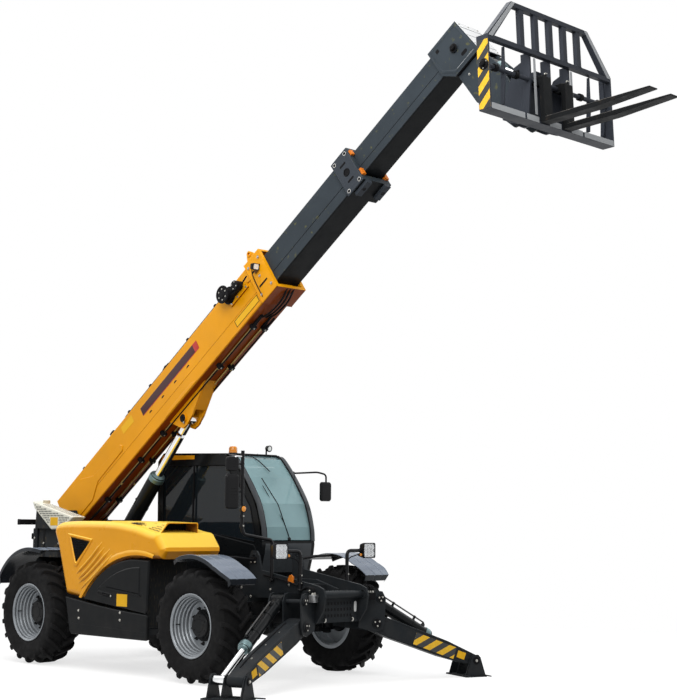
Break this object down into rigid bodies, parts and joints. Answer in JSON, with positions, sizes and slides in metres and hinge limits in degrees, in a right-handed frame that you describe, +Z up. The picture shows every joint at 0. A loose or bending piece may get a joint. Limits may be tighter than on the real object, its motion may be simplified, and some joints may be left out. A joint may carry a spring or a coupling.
{
  "type": "telehandler",
  "caption": "Telescopic-boom loader with a pallet-fork carriage, side cab, engine cover, four steered wheels and splayed front stabilisers.",
  "frame": {"origin": "on the ground, under the middle of the machine's outline, in its middle plane", "axes": "+X forward, +Y left, +Z up"},
  "size_m": [8.9189, 3.8386, 6.5986],
  "materials": {
    "tyre": "matte",
    "rim_silver": "satin",
    "axle_black": "satin",
    "chassis_grey": "satin",
    "body_yellow": "gloss",
    "boom_slate": "satin",
    "panel_grey": "satin",
    "guard_grey": "gloss",
    "cab_black": "gloss",
    "glass": "polished",
    "seat_black": "matte",
    "console_plastic": "matte",
    "cylinder_black": "gloss",
    "rod_chrome": "polished",
    "fork_black": "satin",
    "carriage_grey": "satin",
    "iron_grey": "matte",
    "lamp_black": "satin",
    "beacon_amber": "gloss",
    "exhaust_white": "satin",
    "tank_black": "satin"
  },
  "bodies": {
    "chassis": {"front_axle": "axle_black", "rear_axle": "axle_black", "chassis_frame": "chassis_grey", "chassis_plates": "chassis_grey", "front_nose": "chassis_grey", "stabiliser_brackets": "chassis_grey", "engine_skirt": "panel_grey", "engine_block": "iron_grey", "counterweight": "chassis_grey", "exhaust": "exhaust_white", "rear_light_bar": "lamp_black", "front_mudguards": "guard_grey", "rear_mudguards": "guard_grey", "left_tank": "tank_black", "cab_frame": "cab_black", "cab_glass": "glass", "operator_seat": "seat_black", "steering_console": "console_plastic", "headlights": "lamp_black", "beacon": "beacon_amber", "mirrors": "lamp_black"},
    "wheel_front_left": {"tyre_front_left": "tyre", "rim_front_left": "rim_silver"},
    "knuckle_front_left": {"knuckle_front_left": "axle_black"},
    "wheel_front_right": {"tyre_front_right": "tyre", "rim_front_right": "rim_silver"},
    "knuckle_front_right": {"knuckle_front_right": "axle_black"},
    "wheel_rear_left": {"tyre_rear_left": "tyre", "rim_rear_left": "rim_silver"},
    "knuckle_rear_left": {"knuckle_rear_left": "axle_black"},
    "wheel_rear_right": {"tyre_rear_right": "tyre", "rim_rear_right": "rim_silver"},
    "knuckle_rear_right": {"knuckle_rear_right": "axle_black"},
    "front_steering_rod": {"front_steering_rod": "rod_chrome"},
    "rear_steering_rod": {"rear_steering_rod": "rod_chrome"},
    "boom_base": {"boom_base": "body_yellow", "hose_reel": "lamp_black", "lift_rod_eye": "rod_chrome"},
    "boom_middle": {"boom_middle": "boom_slate"},
    "boom_inner": {"boom_inner": "boom_slate"},
    "lift_barrel": {"lift_cylinder_barrel": "cylinder_black"},
    "lift_rod": {"lift_cylinder_rod": "rod_chrome"},
    "tilt_barrel": {"tilt_cylinder_barrel": "cylinder_black"},
    "tilt_rod": {"tilt_cylinder_rod": "rod_chrome"},
    "carriage": {"carriage_coupler": "carriage_grey", "fork_frame": "carriage_grey", "forks": "fork_black", "tilt_rod_eye": "rod_chrome"},
    "hood": {"engine_hood": "body_yellow", "hood_side_panel": "panel_grey"},
    "door": {"cab_door": "cab_black", "cab_door_glass": "glass"},
    "leg_left": {"stabiliser_leg_left": "chassis_grey"},
    "foot_left": {"stabiliser_foot_left": "chassis_grey"},
    "leg_barrel_left": {"stabiliser_barrel_left": "cylinder_black"},
    "leg_rod_left": {"stabiliser_rod_left": "rod_chrome"},
    "leg_right": {"stabiliser_leg_right": "chassis_grey"},
    "foot_right": {"stabiliser_foot_right": "chassis_grey"},
    "leg_barrel_right": {"stabiliser_barrel_right": "cylinder_black"},
    "leg_rod_right": {"stabiliser_rod_right": "rod_chrome"}
  },
  "joints": [
    {"name": "steer_front_left", "type": "hinge", "parent": "chassis", "child": "knuckle_front_left", "pos_m": [-0.53, 0.78, 0.59], "axis": [0, 0, 1], "range_deg": [-35, 35]},
    {"name": "spin_front_left", "type": "hinge", "parent": "knuckle_front_left", "child": "wheel_front_left", "pos_m": [-0.53, 1, 0.59], "axis": [0, 1, 0], "continuous": true},
    {"name": "steer_front_right", "type": "hinge", "parent": "chassis", "child": "knuckle_front_right", "pos_m": [-0.53, -0.78, 0.59], "axis": [0, 0, 1], "range_deg": [-36, 36]},
    {"name": "spin_front_right", "type": "hinge", "parent": "knuckle_front_right", "child": "wheel_front_right", "pos_m": [-0.53, -1, 0.59], "axis": [0, 1, 0], "continuous": true},
    {"name": "steer_rear_left", "type": "hinge", "parent": "chassis", "child": "knuckle_rear_left", "pos_m": [-3.51, 0.78, 0.59], "axis": [0, 0, 1], "range_deg": [-35, 35]},
    {"name": "spin_rear_left", "type": "hinge", "parent": "knuckle_rear_left", "child": "wheel_rear_left", "pos_m": [-3.51, 1, 0.59], "axis": [0, 1, 0], "continuous": true},
    {"name": "steer_rear_right", "type": "hinge", "parent": "chassis", "child": "knuckle_rear_right", "pos_m": [-3.51, -0.78, 0.59], "axis": [0, 0, 1], "range_deg": [-36, 36]},
    {"name": "spin_rear_right", "type": "hinge", "parent": "knuckle_rear_right", "child": "wheel_rear_right", "pos_m": [-3.51, -1, 0.59], "axis": [0, 1, 0], "continuous": true},
    {"name": "front_steering_rod_slide", "type": "slide", "parent": "chassis", "child": "front_steering_rod", "axis": [0, 1, 0], "range_m": [-0.12, 0.12]},
    {"name": "rear_steering_rod_slide", "type": "slide", "parent": "chassis", "child": "rear_steering_rod", "axis": [0, 1, 0], "range_m": [-0.12, 0.12]},
    {"name": "boom_lift", "type": "hinge", "parent": "chassis", "child": "boom_base", "pos_m": [-4.09185, 0, 1.65267], "axis": [0, -1, 0], "range_deg": [-38, 34]},
    {"name": "lift_barrel_pivot", "type": "hinge", "parent": "chassis", "child": "lift_barrel", "pos_m": [-3.69, 0, 1], "axis": [0, -1, 0], "range_deg": [-36, 32]},
    {"name": "lift_rod_slide", "type": "slide", "parent": "lift_barrel", "child": "lift_rod", "axis": [0.6631, 0, 0.7486], "range_m": [-0.48, 0.43]},
    {"name": "boom_extend", "type": "slide", "parent": "boom_base", "child": "boom_middle", "axis": [0.8106, 0, 0.5857], "range_m": [-1.3, 2]},
    {"name": "boom_inner_extend", "type": "slide", "parent": "boom_middle", "child": "boom_inner", "axis": [0.8106, 0, 0.5857], "range_m": [-1.31, 2.01]},
    {"name": "carriage_tilt", "type": "hinge", "parent": "boom_inner", "child": "carriage", "pos_m": [2.93073, 0, 5.49928], "axis": [0, 1, 0], "range_deg": [-40, 60]},
    {"name": "tilt_barrel_pivot", "type": "hinge", "parent": "boom_inner", "child": "tilt_barrel", "pos_m": [2.17585, 0, 6.32205], "axis": [0, 1, 0], "range_deg": [-5, 5]},
    {"name": "tilt_rod_slide", "type": "slide", "parent": "tilt_barrel", "child": "tilt_rod", "axis": [0.8622, 0, -0.5065], "range_m": [-0.21, 0.31]},
    {"name": "stabiliser_left", "type": "hinge", "parent": "chassis", "child": "leg_left", "pos_m": [0.39013, 0.55307, 0.604], "axis": [-0.9397, 0.342, 0], "range_deg": [-70, 0]},
    {"name": "stabiliser_barrel_pivot_left", "type": "hinge", "parent": "chassis", "child": "leg_barrel_left", "pos_m": [0.23441, 0.65444, 0.861], "axis": [-0.9397, 0.342, 0], "range_deg": [-73, 1]},
    {"name": "stabiliser_rod_slide_left", "type": "slide", "parent": "leg_barrel_left", "child": "leg_rod_left", "axis": [0.2949, 0.8101, -0.5067], "range_m": [-0.3, 0.005]},
    {"name": "stabiliser_foot_left", "type": "hinge", "parent": "leg_left", "child": "foot_left", "pos_m": [0.80248, 1.686, 0.17706], "axis": [-0.9397, 0.342, 0], "range_deg": [-30, 30]},
    {"name": "stabiliser_right", "type": "hinge", "parent": "chassis", "child": "leg_right", "pos_m": [0.39013, -0.55307, 0.604], "axis": [0.9397, 0.342, 0], "range_deg": [-70, 0]},
    {"name": "stabiliser_barrel_pivot_right", "type": "hinge", "parent": "chassis", "child": "leg_barrel_right", "pos_m": [0.23441, -0.65444, 0.861], "axis": [0.9397, 0.342, 0], "range_deg": [-73, 1]},
    {"name": "stabiliser_rod_slide_right", "type": "slide", "parent": "leg_barrel_right", "child": "leg_rod_right", "axis": [0.2949, -0.8101, -0.5067], "range_m": [-0.3, 0.005]},
    {"name": "stabiliser_foot_right", "type": "hinge", "parent": "leg_right", "child": "foot_right", "pos_m": [0.80248, -1.686, 0.17706], "axis": [0.9397, 0.342, 0], "range_deg": [-30, 30]},
    {"name": "hood_hinge", "type": "hinge", "parent": "chassis", "child": "hood", "pos_m": [-2.02, -0.315, 1.64], "axis": [-1, 0, 0], "range_deg": [0, 55]},
    {"name": "cab_door_hinge", "type": "hinge", "parent": "chassis", "child": "door", "pos_m": [-2.326, 1.134, 1.6], "axis": [0, 0, 1], "range_deg": [0, 85]}
  ],
  "couplings": [
    {"joint": "steer_front_right", "follows": "steer_front_left", "ratio": 1},
    {"joint": "steer_rear_right", "follows": "steer_rear_left", "ratio": 1},
    {"joint": "front_steering_rod_slide", "follows": "steer_front_left", "m_per_rad": -0.178},
    {"joint": "rear_steering_rod_slide", "follows": "steer_rear_left", "m_per_rad": 0.178},
    {"joint": "lift_barrel_pivot", "follows": "boom_lift", "ratio": 0.914},
    {"joint": "lift_rod_slide", "follows": "boom_lift", "m_per_rad": 0.704},
    {"joint": "boom_inner_extend", "follows": "boom_extend", "ratio": 1},
    {"joint": "tilt_barrel_pivot", "follows": "carriage_tilt", "ratio": -0.0574},
    {"joint": "tilt_rod_slide", "follows": "carriage_tilt", "m_per_rad": 0.2805},
    {"joint": "stabiliser_barrel_pivot_left", "follows": "stabiliser_left", "ratio": 1.03},
    {"joint": "stabiliser_rod_slide_left", "follows": "stabiliser_left", "m_per_rad": 0.2426},
    {"joint": "stabiliser_barrel_pivot_right", "follows": "stabiliser_right", "ratio": 1.03},
    {"joint": "stabiliser_rod_slide_right", "follows": "stabiliser_right", "m_per_rad": 0.2426}
  ]
}
